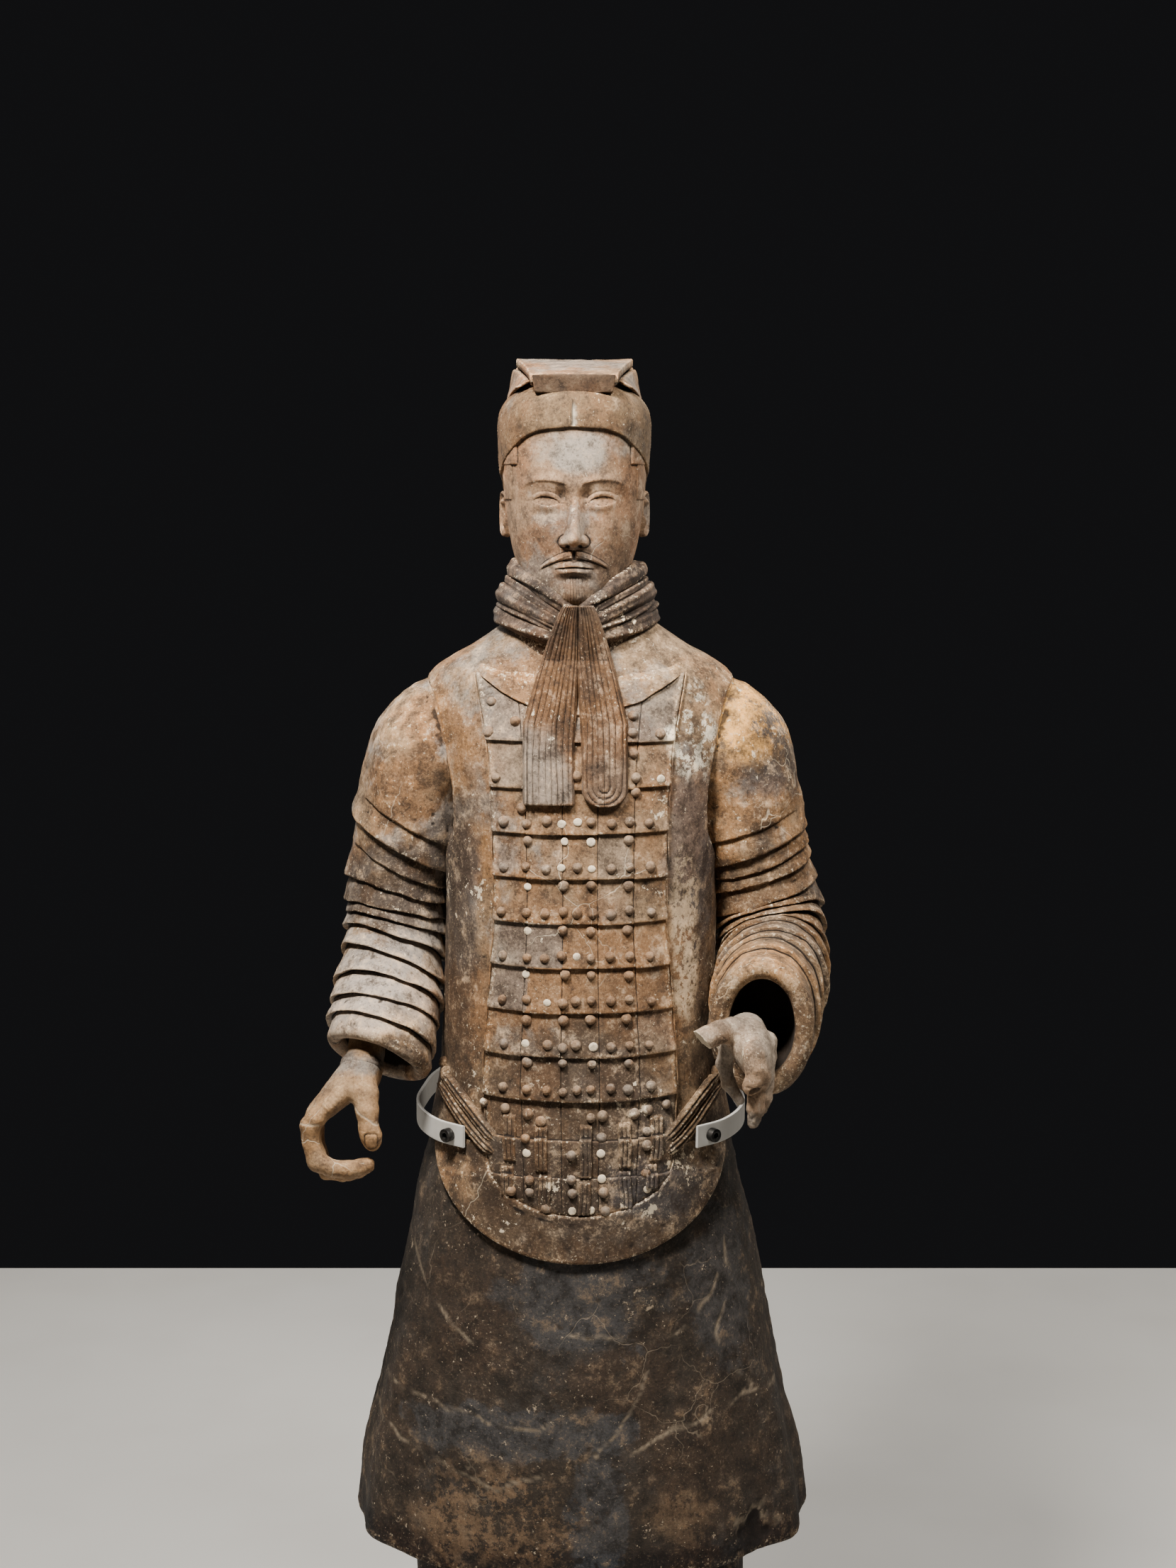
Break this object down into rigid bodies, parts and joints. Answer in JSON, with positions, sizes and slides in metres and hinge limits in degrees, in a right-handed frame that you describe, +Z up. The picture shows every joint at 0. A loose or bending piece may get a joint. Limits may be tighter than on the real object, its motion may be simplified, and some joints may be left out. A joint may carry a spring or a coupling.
{
  "type": "terracotta warrior statue",
  "caption": "Life-size standing armoured officer in fired clay, with set-in head and hands, on a low foot plate with a steel waist support behind.",
  "frame": {"origin": "on the underside of the foot plate, under the axis of the figure's trunk", "axes": "+Z up, the figure faces -Y, its own left hand is at +X"},
  "size_m": [0.6214, 0.681, 1.89],
  "materials": {
    "clay_body": "fired grey-brown clay with blue-grey and rust patches, pale flakes and earth",
    "clay_head": "fired brown clay with grey patches on the brow and earth in the hollows",
    "clay_hand": "paler tan fired clay with fine mended cracks",
    "clay_plate": "dark fired clay with dusty top",
    "stand_paint": "satin pale grey paint",
    "screw_steel": "blackened steel",
    "pad_rubber": "off-white soft pad"
  },
  "bodies": {
    "root": {"body": "clay_body", "head": "clay_head", "right_hand": "clay_hand", "left_hand": "clay_hand", "foot_plate": "clay_plate", "stand_post": "stand_paint", "waist_band": "stand_paint", "clamp_screw_right": "screw_steel", "clamp_screw_left": "screw_steel", "clamp_pad_right": "pad_rubber", "clamp_pad_left": "pad_rubber"}
  },
  "joints": []
}
